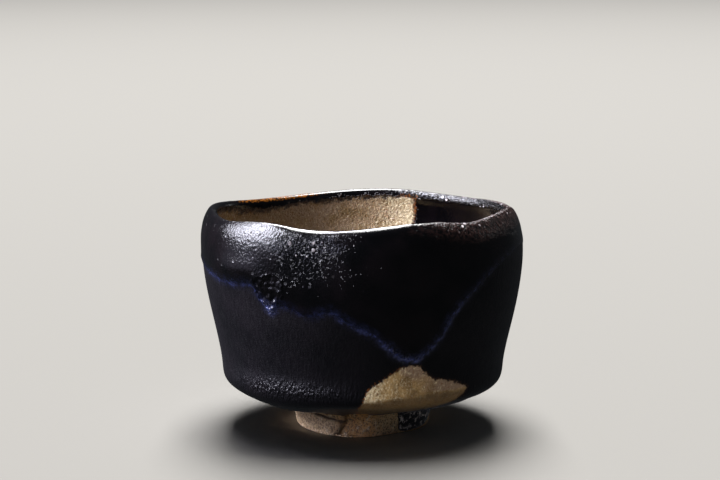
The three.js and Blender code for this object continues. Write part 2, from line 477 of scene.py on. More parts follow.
@dataclass(frozen=True)
class UpperGlaze:
    """Thick second coat of black glaze, fired glossy: it mirrors sharp lights between mottles and pebbles."""

    dark: str = "030304"
    light: str = "0a0709"
    cloud: float = 12.0
    peel: float = 1.7
    # The mottles are finer than a pixel, and are drawn as coarse as they need to show.
    mottle: float = 0.65
    pebble: float = 0.9
    sugar: float = 1.3
    clump: float = 6.0
    pinhole: float = 3.2
    pinhole_patch: float = 7.0

    def coat(self, tree: Tree) -> Coat:
        """Gives the glaze's colour, roughness and relief."""
        place = add(tree, Kind.PLACE)
        cloud = add(tree, Kind.NOISE, place, per_metre(self.cloud), 3)
        peel = add(tree, Kind.NOISE, place, per_metre(self.peel))
        upright = add(tree, Kind.STRETCH, place, (1, 1, 0.55))
        mottle = add(tree, Kind.NOISE, upright, per_metre(self.mottle), 2, 0.6)
        islands = add(tree, Kind.NOISE, place, per_metre(self.pebble), 2, 0.6)
        clumps = add(tree, Kind.NOISE, place, per_metre(self.clump))
        grit = add(tree, Kind.MARK, attribute_name=Mark.GRIT.value)
        crowd = add(tree, Kind.TIMES_PLUS, grit, 0.3, add(tree, Kind.TIMES_PLUS, clumps, 0.26, islands))
        pebbles = add(tree, Kind.EASE, crowd, 0.97, 1.09, 0, 0.32)
        grains = add(tree, Kind.NOISE, place, per_metre(self.sugar), 1)
        sugar = add(tree, Kind.TIMES, grains, add(tree, Kind.EASE, grit, 0.8, 1.2, 0, 0.55))
        holes = add(tree, Kind.EASE, add(tree, Kind.CELLS, place, per_metre(self.pinhole)), 0.13, 0.24, 1, 0)
        few = add(tree, Kind.EASE, add(tree, Kind.NOISE, place, per_metre(self.pinhole_patch)), 0.42, 0.5)
        strength = add(tree, Kind.MARK, attribute_name=Mark.MOTTLE.value)
        few = add(tree, Kind.TIMES, few, add(tree, Kind.EASE, strength, 0.12, 0.2))
        pits = add(tree, Kind.TIMES, holes, few)
        skin = add(tree, Kind.TIMES_PLUS, mottle, strength, add(tree, Kind.TIMES, peel, 0.05))
        relief = add(tree, Kind.TIMES_PLUS, pebbles, 1.0, add(tree, Kind.TIMES_PLUS, sugar, 1.0, skin))
        gloss = add(tree, Kind.EASE, strength, 0.05, 0.3, 0.15, 0.21)
        return Coat(
            colour=add(tree, Kind.BLEND, add(tree, Kind.EASE, cloud, 0.35, 0.7), self.dark, self.light),
            roughness=add(tree, Kind.TIMES_PLUS, pits, 0.5, gloss),
            relief=add(tree, Kind.TIMES_PLUS, pits, -0.16, relief),
        )


@dataclass(frozen=True)
class CrystalsAndGlints:
    """Small pale grains near the lip, glassy, partly real crystals in the glaze and partly painted glints:
    they show as scattered white points.
    """

    # The pale and grey colours stand partly for painted glints.
    pale: str = "ded6d6"
    grey: str = "6e6468"
    grain: float = 3.0
    size_patch: float = 3.4
    tint_patch: float = 4.0

    def cover(self, tree: Tree) -> Socket:
        """Gives where the grains are: here and there, where the glaze is pebbled."""
        cells = add(tree, Kind.CELLS, add(tree, Kind.PLACE), per_metre(self.grain))
        size = add(tree, Kind.NOISE, add(tree, Kind.PLACE), per_metre(self.size_patch))
        near = add(tree, Kind.TIMES_PLUS, size, -0.7, cells)
        spots = add(tree, Kind.EASE, near, -0.22, -0.16, 1, 0)
        grit = add(tree, Kind.MARK, attribute_name=Mark.GRIT.value)
        return add(tree, Kind.TIMES, spots, add(tree, Kind.EASE, grit, 0.66, 0.95))

    def coat(self, tree: Tree) -> Coat:
        """Gives the grains' colour, roughness and relief."""
        tint = add(tree, Kind.NOISE, add(tree, Kind.PLACE), per_metre(self.tint_patch))
        return Coat(
            colour=add(tree, Kind.BLEND, add(tree, Kind.EASE, tint, 0.35, 0.65), self.grey, self.pale),
            roughness=add(tree, Kind.EASE, tint, 0.3, 0.7, 0.2, 0.3),
            relief=add(tree, Kind.EASE, tint, 0.3, 0.7, 0.3, 0.4),
        )


@dataclass(frozen=True)
class BlueEdge:
    """The rim of the upper glaze, where it thinned and turned milky blue: a soft glow along the edge."""

    dark: str = "171b32"
    light: str = "3c467c"
    milky: str = "8589a6"
    curdle: float = 0.7
    wander: float = 4.0
    cloud: float = 2.2
    speck: float = 0.9
    patch: float = 7.0

    def cover(self, tree: Tree) -> Socket:
        """Gives how much of the rim shows: most along its middle, fading on both sides."""
        place = add(tree, Kind.PLACE)
        wander = add(tree, Kind.NOISE, place, per_metre(self.wander), 3)
        wander = add(tree, Kind.TIMES_PLUS, wander, 2.0, -1.0)
        upper = add(tree, Kind.MARK, attribute_name=Mark.UPPER.value)
        edge = add(tree, Kind.TIMES_PLUS, wander, 1.0, upper)
        core_low = add(tree, Kind.EASE, edge, -1.5, -0.2)
        core = add(tree, Kind.TIMES, core_low, add(tree, Kind.EASE, edge, 0.2, 1.5, 1, 0))
        halo_low = add(tree, Kind.EASE, edge, -3.2, 0)
        halo = add(tree, Kind.TIMES, halo_low, add(tree, Kind.EASE, edge, 0.4, 4.0, 1, 0))
        both = add(tree, Kind.TIMES_PLUS, core, 0.65, add(tree, Kind.TIMES, halo, 0.35))
        speck = add(tree, Kind.NOISE, place, per_metre(self.speck), 3, 0.65)
        specked = add(tree, Kind.TIMES, both, add(tree, Kind.EASE, speck, 0.25, 0.7, 0.3, 1.1))
        patch = add(tree, Kind.NOISE, place, per_metre(self.patch))
        blue = add(tree, Kind.MARK, attribute_name=Mark.BLUE.value)
        patchy = add(tree, Kind.TIMES, add(tree, Kind.EASE, patch, 0.3, 0.6, 0.5, 1.0), blue)
        return add(tree, Kind.TIMES, specked, patchy)

    def coat(self, tree: Tree) -> Coat:
        """Gives the rim's colour, roughness and relief."""
        place = add(tree, Kind.PLACE)
        cloud = add(tree, Kind.NOISE, place, per_metre(self.cloud), 3, 0.6)
        flecks = add(tree, Kind.EASE, add(tree, Kind.NOISE, place, per_metre(self.curdle)), 0.5, 0.62)
        thick = add(tree, Kind.EASE, add(tree, Kind.MARK, attribute_name=Mark.BLUE.value), 0.9, 1.4)
        blue = add(tree, Kind.BLEND, add(tree, Kind.EASE, cloud, 0.35, 0.7), self.dark, self.light)
        return Coat(
            colour=add(tree, Kind.BLEND, add(tree, Kind.TIMES, flecks, thick), blue, self.milky),
            roughness=add(tree, Kind.EASE, cloud, 0.3, 0.7, 0.24, 0.34),
            relief=add(tree, Kind.TIMES, add(tree, Kind.NOISE, place, per_metre(self.speck)), 0.3),
        )


@dataclass(frozen=True)
class BuffWindow:
    """Buff stoneware under a thin clear glaze, crackled: sandy, with cream flakes where the glaze crawled,
    and darker on the underside, partly a toasted tone and partly painted shade.
    """

    shade: str
    body: str
    blush: str
    cream: str
    toast: str
    rough_low: float
    rough_high: float
    wrinkled: float
    ragged: float = 2.3
    rim_width: float = 0.5
    rust: str = "85501f"
    crack: str = "5d4526"
    crackle: float = 2.4
    crackle_patch: float = 3.5
    cloud: float = 5.0
    # The sand, the flakes and the glaze's wrinkles are finer, and are drawn as coarse as they need to show.
    sand: float = 0.7
    flake: float = 0.8
    wrinkle: float = 1.0
    rust_spot: float = 1.1

    def coat(self, tree: Tree) -> Coat:
        """Gives the window's colour, roughness and relief."""
        place = add(tree, Kind.PLACE)
        cloud = add(tree, Kind.NOISE, place, per_metre(self.cloud), 4, 0.6)
        sand = add(tree, Kind.NOISE, place, per_metre(self.sand), 2, 0.6)
        gold = add(tree, Kind.BLEND, add(tree, Kind.EASE, cloud, 0.34, 0.6), self.shade, self.body)

        pink = add(tree, Kind.TIMES_PLUS, cloud, 1.6, add(tree, Kind.MARK, attribute_name=Mark.BLUSH.value))
        body = add(tree, Kind.BLEND, add(tree, Kind.EASE, pink, 0.9, 1.7, 0, 0.85), gold, self.blush)
        spots = add(tree, Kind.NOISE, place, per_metre(self.rust_spot), 3, 0.65)
        body = add(tree, Kind.BLEND, add(tree, Kind.EASE, spots, 0.57, 0.7, 0, 0.6), body, self.rust)

        flakes = add(tree, Kind.STRETCH, place, (1, 1, 0.7))
        flakes = add(tree, Kind.NOISE, flakes, per_metre(self.flake), 3, 0.7)
        cream = add(tree, Kind.MARK, attribute_name=Mark.CREAM.value)
        crowd = add(tree, Kind.TIMES_PLUS, cream, 0.22, flakes)
        body = add(tree, Kind.BLEND, add(tree, Kind.EASE, crowd, 0.52, 0.8, 0, 0.9), body, self.cream)

        cells = add(tree, Kind.CELLS, place, per_metre(self.crackle), feature="DISTANCE_TO_EDGE")
        where = add(tree, Kind.NOISE, place, per_metre(self.crackle_patch))
        where = add(tree, Kind.EASE, where, 0.45, 0.6, 0, 0.35)
        lines = add(tree, Kind.TIMES, add(tree, Kind.EASE, cells, 0.015, 0.05, 1, 0), where)
        body = add(tree, Kind.BLEND, lines, body, self.crack)
        # Painted shade, with some toasted tone: darkens the window below the crease of the underside.
        under = add(tree, Kind.TIMES, add(tree, Kind.MARK, attribute_name=Mark.TOAST.value), 0.8)

        wrinkles = add(tree, Kind.NOISE, place, per_metre(self.wrinkle), 2, 0.6)
        relief = add(tree, Kind.TIMES_PLUS, sand, 0.25, add(tree, Kind.TIMES, wrinkles, self.wrinkled))
        return Coat(
            colour=add(tree, Kind.BLEND, under, body, self.toast),
            roughness=add(tree, Kind.EASE, sand, 0.3, 0.7, self.rough_low, self.rough_high),
            relief=relief,
        )


@dataclass(frozen=True)
class BareClay:
    """Unglazed stoneware, cut with a blade and fired tan: dry and gritty, with open pits and no shine, and
    painted shade darkening its groove and the edge between its facets.
    """

    shade: str = "6a523b"
    body: str = "cbae87"
    pale: str = "ead5b2"
    orange: str = "cf985a"
    pit: str = "3d2c22"
    slip: str = "2b1f18"
    cloud: float = 4.0
    # The sand is finer than a pixel, and is drawn as coarse as it needs to show.
    sand: float = 0.6
    drag: float = 1.6
    pit_cell: float = 1.5
    pit_patch: float = 3.0

    def coat(self, tree: Tree) -> Coat:
        """Gives the clay's colour, roughness and relief."""
        place = add(tree, Kind.PLACE)
        upright = add(tree, Kind.STRETCH, place, (1, 1, 0.8))
        cloud = add(tree, Kind.NOISE, place, per_metre(self.cloud), 4, 0.6)
        sand = add(tree, Kind.NOISE, upright, per_metre(self.sand), 2, 0.7)
        drag = add(tree, Kind.NOISE, upright, per_metre(self.drag), 3)
        warm = add(tree, Kind.TIMES_PLUS, cloud, 1.2, add(tree, Kind.MARK, attribute_name=Mark.BLUSH.value))
        body = add(tree, Kind.BLEND, add(tree, Kind.EASE, warm, 0.6, 1.4, 0, 0.7), self.body, self.orange)
        body = add(tree, Kind.BLEND, add(tree, Kind.EASE, drag, 0.5, 0.72), body, self.pale)
        body = add(tree, Kind.BLEND, add(tree, Kind.EASE, sand, 0.35, 0.53, 0.9, 0), body, self.shade)
        holes = add(tree, Kind.CELLS, upright, per_metre(self.pit_cell))
        holes = add(tree, Kind.EASE, holes, 0.14, 0.3, 1, 0)
        few = add(tree, Kind.EASE, add(tree, Kind.NOISE, place, per_metre(self.pit_patch)), 0.48, 0.62)
        pits = add(tree, Kind.TIMES, holes, few)
        body = add(tree, Kind.BLEND, add(tree, Kind.TIMES, pits, 0.6), body, self.pit)
        # Painted shade: darkens the clay in the groove and beside the facet's edge.
        shaded_cuts = add(tree, Kind.TIMES_PLUS, sand, 0.8, add(tree, Kind.MARK, attribute_name=Mark.SLIP.value))
        relief = add(tree, Kind.TIMES_PLUS, sand, 0.5, add(tree, Kind.TIMES, drag, 0.9))
        return Coat(
            colour=add(tree, Kind.BLEND, add(tree, Kind.EASE, shaded_cuts, 0.5, 1.2, 0, 0.85), body, self.slip),
            roughness=add(tree, Kind.EASE, sand, 0.3, 0.7, 0.82, 0.95),
            relief=add(tree, Kind.TIMES_PLUS, pits, -0.4, relief),
        )


@dataclass(frozen=True)
class CurdledPool:
    """Thick black glaze that pooled on the foot and curdled: pale scribbles on black, partly curdled glaze
    and partly painted glints.
    """

    black: str = "060507"
    pale: str = "cfc8c6"
    scribble: float = 2.4
    scribble_gap: float = 1.4

    def coat(self, tree: Tree) -> Coat:
        """Gives the pool's colour, roughness and relief."""
        place = add(tree, Kind.PLACE)
        lines = add(tree, Kind.NOISE, place, per_metre(self.scribble), 2, 0.6)
        low = add(tree, Kind.EASE, lines, 0.42, 0.49)
        ridge = add(tree, Kind.TIMES, low, add(tree, Kind.EASE, lines, 0.51, 0.58, 1, 0))
        broken = add(tree, Kind.NOISE, place, per_metre(self.scribble_gap), 2)
        # The pale scribbles are partly painted glints.
        scribbles_and_glints = add(tree, Kind.TIMES, ridge, add(tree, Kind.EASE, broken, 0.44, 0.56))
        return Coat(
            colour=add(tree, Kind.BLEND, scribbles_and_glints, self.black, self.pale),
            roughness=add(tree, Kind.EASE, lines, 0.3, 0.7, 0.16, 0.3),
            relief=add(tree, Kind.TIMES, scribbles_and_glints, 0.3),
        )


@dataclass(frozen=True)
class IronRim:
    """The umber rim where black glaze thins out over the buff clay: a burnt edge, rusty amber in places."""

    umber: str = "180c05"
    amber: str = "84490f"
    speck: float = 1.1

    def coat(self, tree: Tree) -> Coat:
        """Gives the rim's colour, roughness and relief."""
        speck = add(tree, Kind.NOISE, add(tree, Kind.PLACE), per_metre(self.speck), 3, 0.7)
        rust = add(tree, Kind.MARK, attribute_name=Mark.RUST.value)
        rusty = add(tree, Kind.TIMES, add(tree, Kind.EASE, speck, 0.46, 0.6), rust)
        return Coat(
            colour=add(tree, Kind.BLEND, rusty, self.umber, self.amber),
            roughness=add(tree, Kind.EASE, speck, 0.3, 0.7, 0.3, 0.45),
            relief=add(tree, Kind.TIMES, speck, 0.3),
        )


@dataclass(frozen=True)
class LipGlaze:
    """The black glaze on the lip, drawn so thin that the iron in it breaks to a warm, grainy colour."""

    dark: str
    light: str
    speck: float
    rough_low: float
    rough_high: float
    grain: float

    def coat(self, tree: Tree) -> Coat:
        """Gives the lip's colour, roughness and relief."""
        speck = add(tree, Kind.NOISE, add(tree, Kind.PLACE), per_metre(self.speck), 3, 0.65)
        return Coat(
            colour=add(tree, Kind.BLEND, add(tree, Kind.EASE, speck, 0.42, 0.58), self.dark, self.light),
            roughness=add(tree, Kind.EASE, speck, 0.3, 0.7, self.rough_low, self.rough_high),
            relief=add(tree, Kind.TIMES, speck, self.grain),
        )


@dataclass(frozen=True)
class BowlFinish:
    """All the finishes on the bowl, laid over each other as the potter laid them."""

    lower: LowerGlaze = LowerGlaze()
    upper: UpperGlaze = UpperGlaze()
    crystals_and_glints: CrystalsAndGlints = CrystalsAndGlints()
    blue: BlueEdge = BlueEdge()
    outer_buff: BuffWindow = BuffWindow(
        shade="8e6e40",
        body="caa366",
        blush="9a7f6a",
        cream="fbe9bc",
        toast="6b5232",
        rough_low=0.4,
        rough_high=0.6,
        wrinkled=0.5,
    )
    inner_buff: BuffWindow = BuffWindow(
        shade="907751",
        body="ba9e79",
        blush="94806b",
        cream="e6d6ae",
        toast="8a7250",
        rough_low=0.16,
        rough_high=0.32,
        wrinkled=0.6,
        ragged=3.4,
        rim_width=1.2,
    )
    clay: BareClay = BareClay()
    pool: CurdledPool = CurdledPool()
    rim: IronRim = IronRim()
    amber: LipGlaze = LipGlaze("0b0502", "6a3d0e", speck=1.0, rough_low=0.14, rough_high=0.2, grain=0.1)
    umber: LipGlaze = LipGlaze("080505", "33221f", speck=1.2, rough_low=0.15, rough_high=0.28, grain=0.7)
    glass_ior: float = 1.5
    edge_wobble: float = 3.0
    edge_fray: float = 0.9

    def material(self) -> bpy.types.Material:
        """Builds the bowl's one material.

        Returns:
            Glazed stoneware, with each finish where the mesh's measures put it.
        """
        material = bpy.data.materials.new("glazed_stoneware")
        material.use_nodes = True
        tree = material.node_tree
        tree.nodes.clear()
        place = add(tree, Kind.PLACE)
        wobble = add(tree, Kind.NOISE, place, per_metre(self.edge_wobble), 4, 0.62)
        wobble = add(tree, Kind.TIMES_PLUS, wobble, 1.0, -0.5)
        fine = add(tree, Kind.NOISE, place, per_metre(self.edge_fray), 3, 0.6)
        fine = add(tree, Kind.TIMES_PLUS, fine, 1.0, -0.5)
        ragged = add(tree, Kind.TIMES_PLUS, wobble, 1.5, fine)

        coat = self.lower.coat(tree)
        edge = add(tree, Kind.TIMES_PLUS, ragged, 0.8, add(tree, Kind.MARK, attribute_name=Mark.UPPER.value))
        coat = coat.under(tree, self.upper.coat(tree), add(tree, Kind.EASE, edge, -0.4, 0.5))
        coat = coat.under(tree, self.blue.coat(tree), self.blue.cover(tree))
        edge = add(tree, Kind.TIMES_PLUS, wobble, 0.7, add(tree, Kind.MARK, attribute_name=Mark.UMBER.value))
        coat = coat.under(tree, self.umber.coat(tree), add(tree, Kind.EASE, edge, 0.2, 0.8))
        edge = add(tree, Kind.TIMES_PLUS, ragged, 0.7, add(tree, Kind.MARK, attribute_name=Mark.AMBER.value))
        coat = coat.under(tree, self.amber.coat(tree), add(tree, Kind.EASE, edge, 0.42, 0.78))
        coat = coat.under(tree, self.crystals_and_glints.coat(tree), self.crystals_and_glints.cover(tree))

        rim = self.rim.coat(tree)
        for mark, buff in ((Mark.OUTER_WINDOW, self.outer_buff), (Mark.INNER_WINDOW, self.inner_buff)):
            window = add(tree, Kind.MARK, attribute_name=mark.value)
            edge = add(tree, Kind.TIMES_PLUS, ragged, buff.ragged, window)
            coat = coat.under(tree, rim, add(tree, Kind.EASE, edge, -0.5, -0.1))
            shown = add(tree, Kind.EASE, edge, buff.rim_width * 0.3, buff.rim_width * 1.7)
            coat = coat.under(tree, buff.coat(tree), shown)
        edge = add(tree, Kind.TIMES_PLUS, fine, 0.5, add(tree, Kind.MARK, attribute_name=Mark.FOOT.value))
        coat = coat.under(tree, rim, add(tree, Kind.EASE, edge, -0.5, -0.2))
        coat = coat.under(tree, self.clay.coat(tree), add(tree, Kind.EASE, edge, -0.1, 0.2))
        pool = add(tree, Kind.MARK, attribute_name=Mark.FOOT_POOL.value)
        edge = add(tree, Kind.TIMES_PLUS, ragged, 0.7, pool)
        coat = coat.under(tree, rim, add(tree, Kind.EASE, edge, -0.4, -0.1))
        coat = coat.under(tree, self.pool.coat(tree), add(tree, Kind.EASE, edge, 0, 0.3))

        bump = add(tree, Kind.BUMP, coat.relief, MM)
        surface = add(tree, Kind.SURFACE, coat.colour, coat.roughness, bump, self.glass_ior)
        add(tree, Kind.OUTPUT, surface)
        return material


@dataclass
class TeaBowl:
    """The bowl's one piece: the solid's form, refined, with its glazes' edges and its tool marks in relief.

    Lengths are millimetres. Every relief goes inwards from the solid's surface, or stays within its box.
    """

    name: str = "glazed_bowl"
    merge: float = 0.02
    levels: int = 2
    upper_sink: float = 0.08
    glaze_step: float = 0.42
    bead: float = 0.22
    bead_from_edge: float = 1.3
    window_sink: float = 0.62
    inner_sink: float = 0.3
    ring_pitch: float = 5.2
    ring_depth: float = 0.13
    bulge: float = 0.5
    roll: float = 1.5
    crest_lift: float = 0.3
    lip_shoulder: float = 0.4
    lip_undercut: float = 1.7
    facet_depth: float = 1.5
    groove_depth: float = 1.2
    torn_ridge: float = 0.5
    patch_cuts: int = 3
    patch_reach: float = 3.5
    foot_cuts: int = 1
    trim_pitch: float = 2.3
    trim_depth: float = 0.16
    foot_top: float = 8.7
    foot_wave: float = 0.25
    foot_reach: float = 32.0
    foot_middle: float = 26.0
    foot_rough: float = 0.3
    chip_depth: float = 0.5
    pool_rise: float = 0.5
    floor_pool_place: Point = (-9.0, 9.0)
    floor_pool_radius: float = 33.0
    window_top: Point = (290.0, 33.0)
    wrinkle_depth: float = 0.14
    pebble_depth: float = 0.1
    skin_wave: float = 0.05

    def build(self) -> bpy.types.Object:
        """Makes the piece and gives it to the frame.

        Returns:
            The bowl's object.
        """
        piece = self._refined_copy()
        skin = self._read(piece)
        marks = self._measure(skin)
        self._press(piece, skin, marks)
        self._store(piece, marks)
        piece.data.materials.clear()
        piece.data.materials.append(BowlFinish().material())
        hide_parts(NODE)
        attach(piece, "root")
        LOG.info("%s: %d faces, %d points", piece.name, len(piece.data.polygons), len(piece.data.vertices))
        return piece

    def _refined_copy(self) -> bpy.types.Object:
        """Copies the solid's mesh, joins its loose triangles into quads and subdivides them smoothly."""
        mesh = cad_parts[NODE].data.copy()
        mesh.name = self.name
        piece = bpy.data.objects.new(self.name, mesh)
        bpy.context.scene.collection.objects.link(piece)
        bpy.ops.object.select_all(action="DESELECT")
        piece.select_set(True)
        bpy.context.view_layer.objects.active = piece
        if mesh.has_custom_normals:
            bpy.ops.mesh.customdata_custom_splitnormals_clear()
        bpy.ops.object.mode_set(mode="EDIT")
        bpy.ops.mesh.select_all(action="SELECT")
        bpy.ops.mesh.remove_doubles(threshold=self.merge * MM)
        bpy.ops.mesh.tris_convert_to_quads(face_threshold=math.radians(60), shape_threshold=math.radians(60))
        bpy.ops.object.mode_set(mode="OBJECT")
        smooth = piece.modifiers.new("smooth", "SUBSURF")
        smooth.levels = smooth.render_levels = self.levels
        bpy.ops.object.modifier_apply(modifier=smooth.name)
        self._cut_finer(piece)
        bpy.ops.object.shade_smooth()
        return piece

    def _cut_finer(self, piece: bpy.types.Object) -> None:
        """Subdivides the smallest forms' faces: round the torn pocket and on the cut side of the foot."""
        skin = self._read(piece)
        torn = TEAR.distance(skin.azimuth, skin.height, skin.radius) > -self.patch_reach
        foot = (skin.radius < self.foot_reach) & (skin.height < self.foot_top)
        foot &= Stretch.CUT_FOOT.on(skin) > 0
        for chosen, cuts in ((torn, self.patch_cuts), (foot, self.foot_cuts)):
            bpy.ops.object.mode_set(mode="EDIT")
            bpy.ops.mesh.select_mode(type="FACE")
            bpy.ops.mesh.select_all(action="DESELECT")
            bpy.ops.object.mode_set(mode="OBJECT")
            corners = set(np.flatnonzero(chosen & skin.outside).tolist())
            for face in piece.data.polygons:
                face.select = corners.issuperset(face.vertices)
            bpy.ops.object.mode_set(mode="EDIT")
            bpy.ops.mesh.subdivide(number_cuts=cuts, smoothness=0)
            bpy.ops.object.mode_set(mode="OBJECT")

    @staticmethod
    def _read(piece: bpy.types.Object) -> Skin:
        """Reads the piece's points and normals as a skin."""
        count = len(piece.data.vertices)
        points = np.empty(count * 3)
        normals = np.empty(count * 3)
        piece.data.vertices.foreach_get("co", points)
        piece.data.vertex_normals.foreach_get("vector", normals)
        return Skin(points.reshape(-1, 3) / MM, normals.reshape(-1, 3))

    def _measure(self, skin: Skin) -> dict[Mark, np.ndarray]:
        """Measures where each glaze, window and mark lies on the skin.

        Args:
            skin: The bowl's points.

        Returns:
            One value for each point, for each mark.
        """
        edges = self._edges(skin)
        return {
            **edges,
            **self._glaze_marks(skin),
            **self._lip_marks(skin),
            **self._clay_marks(skin, edges[Mark.FOOT]),
        }

    def _edges(self, skin: Skin) -> dict[Mark, np.ndarray]:
        """Measures how far each point lies inside each glaze's and window's edge, in millimetres."""
        upper = UPPER_GLAZE.distance(skin.azimuth, skin.path, skin.radius)
        outer = OUTER_WINDOW.distance(skin.azimuth, skin.path, skin.radius)
        inner = INNER_WINDOW.distance(skin.azimuth, skin.past_lip, skin.radius)
        from_pool = np.hypot(*(skin.points[:, :2] - self.floor_pool_place).T)
        below_foot = self.foot_top - skin.height + self.foot_wave * np.sin(np.radians(skin.azimuth * 3))
        foot_radius = np.full_like(skin.radius, self.foot_middle)
        pool = FOOT_POOL.distance(skin.azimuth, skin.height, foot_radius)
        in_well = skin.side == Side.WELL.value
        return {
            Mark.UPPER: np.where(in_well, OUT_OF_REACH, np.minimum(upper, -OUT_OF_REACH)),
            Mark.OUTER_WINDOW: np.where(skin.outside, outer, OUT_OF_REACH),
            Mark.INNER_WINDOW: np.where(
                skin.inside, np.maximum(inner, self.floor_pool_radius - from_pool), inner
            ),
            Mark.FOOT: np.where(skin.radius < self.foot_reach, below_foot, OUT_OF_REACH),
            Mark.FOOT_POOL: np.where(skin.outside, pool, OUT_OF_REACH),
        }

    @staticmethod
    def _glaze_marks(skin: Skin) -> dict[Mark, np.ndarray]:
        """Measures how blue the glaze's edge is, and how wrinkled and mottled the glaze is on the outside."""
        blue = Stretch.BLUE_DIP.on(skin) + 0.22 * Stretch.BLUE_LEFT.on(skin)
        blue += 0.08 + 0.2 * Stretch.BLUE_BACK.on(skin)
        blue += 0.95 * Stretch.TORN_POCKET.on(skin) * ease(60, 55.5, skin.height)
        turn = Stretch.TURN_WRINKLES.on(skin) * bell(22.5, 3.8, skin.path)
        below_crest = np.maximum(ease(-1.2, -3.4, skin.past_lip), Stretch.LEFT_LIGHT.on(skin)) * skin.outside
        streaks = 0.25 * Stretch.STREAKS.on(skin) * ease(58, 66, skin.path)
        streaks += 0.1 * Stretch.STREAKS_END.on(skin) * ease(56, 66, skin.path)
        return {
            Mark.BLUE: blue * skin.outside,
            Mark.TURN: turn * skin.outside,
            Mark.MOTTLE: 0.05 + streaks * below_crest,
        }

    @staticmethod
    def _lip_marks(skin: Skin) -> dict[Mark, np.ndarray]:
        """Measures how amber and umber the lip is, and how gritty the glaze is on it and pebbled below it."""
        past_lip = skin.past_lip
        amber = 1.2 * Stretch.AMBER_LIP.on(skin) * np.exp(-(((past_lip - 0.3) / 1.7) ** 4))
        umber = np.minimum(1.35 * Stretch.UMBER_LIP.on(skin), 1)
        lip = ease(-11, -1, past_lip) * ease(6, 3, past_lip)
        grit = 1.15 * Stretch.RIGHT_LIP.on(skin) + np.minimum(1.9 * Stretch.FAR_LIP.on(skin), 1.3)
        grit = lip * np.maximum(grit, 0.8 * Stretch.LEFT_CREST.on(skin) * ease(3, 0, np.abs(past_lip)))
        left = 0.6 * Stretch.LEFT_LIP.on(skin) * ease(-14, -4, past_lip) * ease(3, 1, past_lip)
        grit = np.maximum(grit, left) * ease(4.5, 3, past_lip)
        pebbles = Stretch.PEBBLES.on(skin) * ease(51, 68, skin.path) * ease(-0.5, -3, past_lip)
        pebbles *= (0.8 - 0.7 * Stretch.FEW_PEBBLES.on(skin)) * skin.outside
        return {
            Mark.AMBER: amber,
            Mark.UMBER: umber * ease(-12, -3, past_lip) * ease(1.5, 0, past_lip),
            Mark.GRIT: np.maximum(grit, pebbles),
        }

    def _clay_marks(self, skin: Skin, foot: np.ndarray) -> dict[Mark, np.ndarray]:
        """Measures where the clay is rusty, pink and flaked with cream, where the underside is darkened by
        toasting and by painted shade, and where painted shade darkens the foot's cuts.

        Args:
            skin: The bowl's points.
            foot: How far each point lies below the top of the bare foot.

        Returns:
            One value for each point, for each of these marks.
        """
        rust = np.where(skin.inside, Stretch.INNER_RUST.on(skin), Stretch.WINDOW_RUST.on(skin)) + 0.15
        top_azimuth, top_path = self.window_top
        from_top = np.hypot(turn_between(top_azimuth, skin.azimuth) * 0.9, skin.path - top_path)
        window_blush = ease(8, 2, from_top) + Stretch.WINDOW_RIGHT_TIP.on(skin) * ease(21, 23, skin.path)
        blush = np.where(skin.inside, 0.2 + 0.5 * Stretch.INNER_BLUSH.on(skin), window_blush)
        blush = np.where(foot > -1, Stretch.FOOT_BLUSH.on(skin), blush)
        flakes = Stretch.WINDOW_LEFT_TIP.on(skin) * ease(17, 20, skin.path)
        flakes += 0.25 * Stretch.WINDOW_MIDDLE.on(skin)
        crease = 19.2 + 2.6 * ease(268, 300, skin.azimuth)
        return {
            Mark.RUST: np.clip(rust, 0, 1),
            Mark.BLUSH: np.clip(blush, 0, 1),
            Mark.CREAM: np.where(skin.inside, Stretch.INNER_FLAKES.on(skin), flakes),
            Mark.TOAST: ease(crease + 0.8, crease - 1.2, skin.path) * skin.outside,
            # Painted shade in the groove and beside the facet's edge.
            Mark.SLIP: self._groove(skin) + 0.45 * bell(-1.5, 3.5, self._past_facet(skin)),
        }

    def _press(self, piece: bpy.types.Object, skin: Skin, marks: dict[Mark, np.ndarray]) -> None:
        """Moves the points in or out for the glazes' thickness and the tools' marks.

        Args:
            piece: The bowl's object.
            skin: The bowl's points.
            marks: The measures of the glazes, windows and marks.
        """
        relief = self._glaze_relief(skin, marks)
        relief += self._tool_relief(skin) + self._torn_relief(skin) + self._swell_relief(skin, marks)
        bare = ease(-1, 0.4, marks[Mark.FOOT])
        relief += bare * (self._foot_cuts(skin) - relief)
        relief += self.pool_rise * ease(-0.4, 0.6, marks[Mark.FOOT_POOL])
        relief *= ease(0.05, 0.9, skin.height)

        moved = (skin.points + skin.normals * relief[:, None]) * MM
        moved[:, 2] = np.clip(moved[:, 2], 0, skin.height.max() * MM)
        piece.data.vertices.foreach_set("co", moved.ravel())
        piece.data.update()

    def _glaze_relief(self, skin: Skin, marks: dict[Mark, np.ndarray]) -> np.ndarray:
        """Gives the relief of the upper glaze's step and bead, of the lip's crest and of the windows."""
        upper = marks[Mark.UPPER]
        thick = 1 - 0.7 * Stretch.THIN_UPPER_GLAZE.on(skin)
        relief = -self.upper_sink - self.glaze_step * thick * (1 - ease(-0.7, 0.7, upper))
        relief += self.bead * thick * bell(self.bead_from_edge, 1.1, upper) * skin.outside
        relief += self.skin_wave * skin.grain(3.2, 11.3) * ease(0, 3, upper)
        relief += self.crest_lift * bell(0, 1.8, skin.past_lip)
        shoulder = bell(-2.8, 1.6, skin.past_lip) * Stretch.LIP_SHOULDER.on(skin)
        relief += self.lip_shoulder * shoulder * skin.outside
        relief += ease(-0.6, 0.5, marks[Mark.OUTER_WINDOW]) * (-self.window_sink - relief)
        relief += ease(-0.6, 0.6, marks[Mark.INNER_WINDOW]) * (-self.inner_sink - relief)
        return relief

